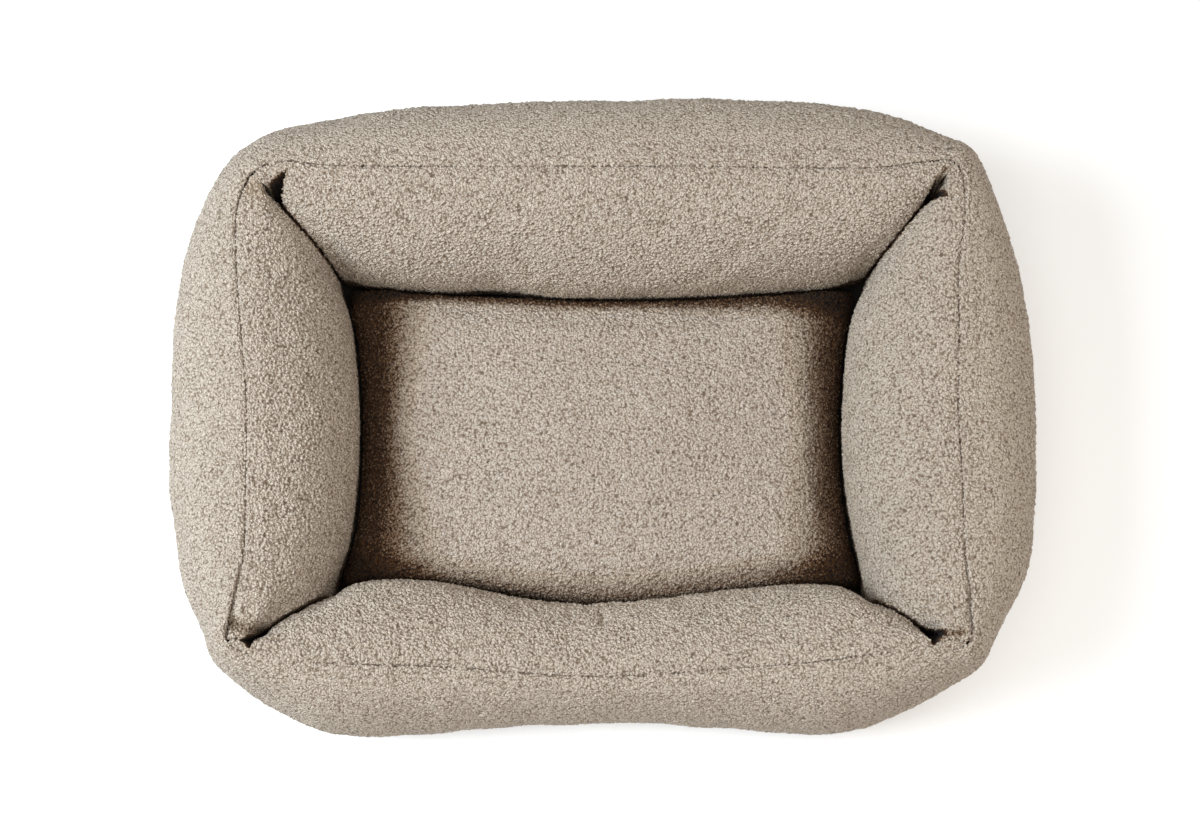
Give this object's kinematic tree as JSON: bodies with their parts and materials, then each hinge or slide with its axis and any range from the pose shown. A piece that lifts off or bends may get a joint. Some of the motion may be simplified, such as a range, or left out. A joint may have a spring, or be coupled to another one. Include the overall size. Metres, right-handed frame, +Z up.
{
  "type": "orthopedic dog bed",
  "caption": "Rectangular dog bed: stuffed boucle bolsters, mitred at the corners, stand round a crowned mattress on a flat canvas base.",
  "frame": {"origin": "on the floor, at the middle of the bed's bounding box", "axes": "+X along the long side, +Y towards the back wall, +Z up"},
  "size_m": [0.9142, 0.6825, 0.219],
  "materials": {
    "boucle": "matte, short curly loops, beige",
    "boucle_mattress": "matte, short curly loops, beige",
    "canvas": "matte, dark plain weave"
  },
  "bodies": {
    "root": {"base_panel": "canvas", "outer_band": "boucle", "bolster_left": "boucle", "bolster_front": "boucle", "bolster_right": "boucle", "bolster_back": "boucle", "mattress": "boucle_mattress"}
  },
  "joints": []
}
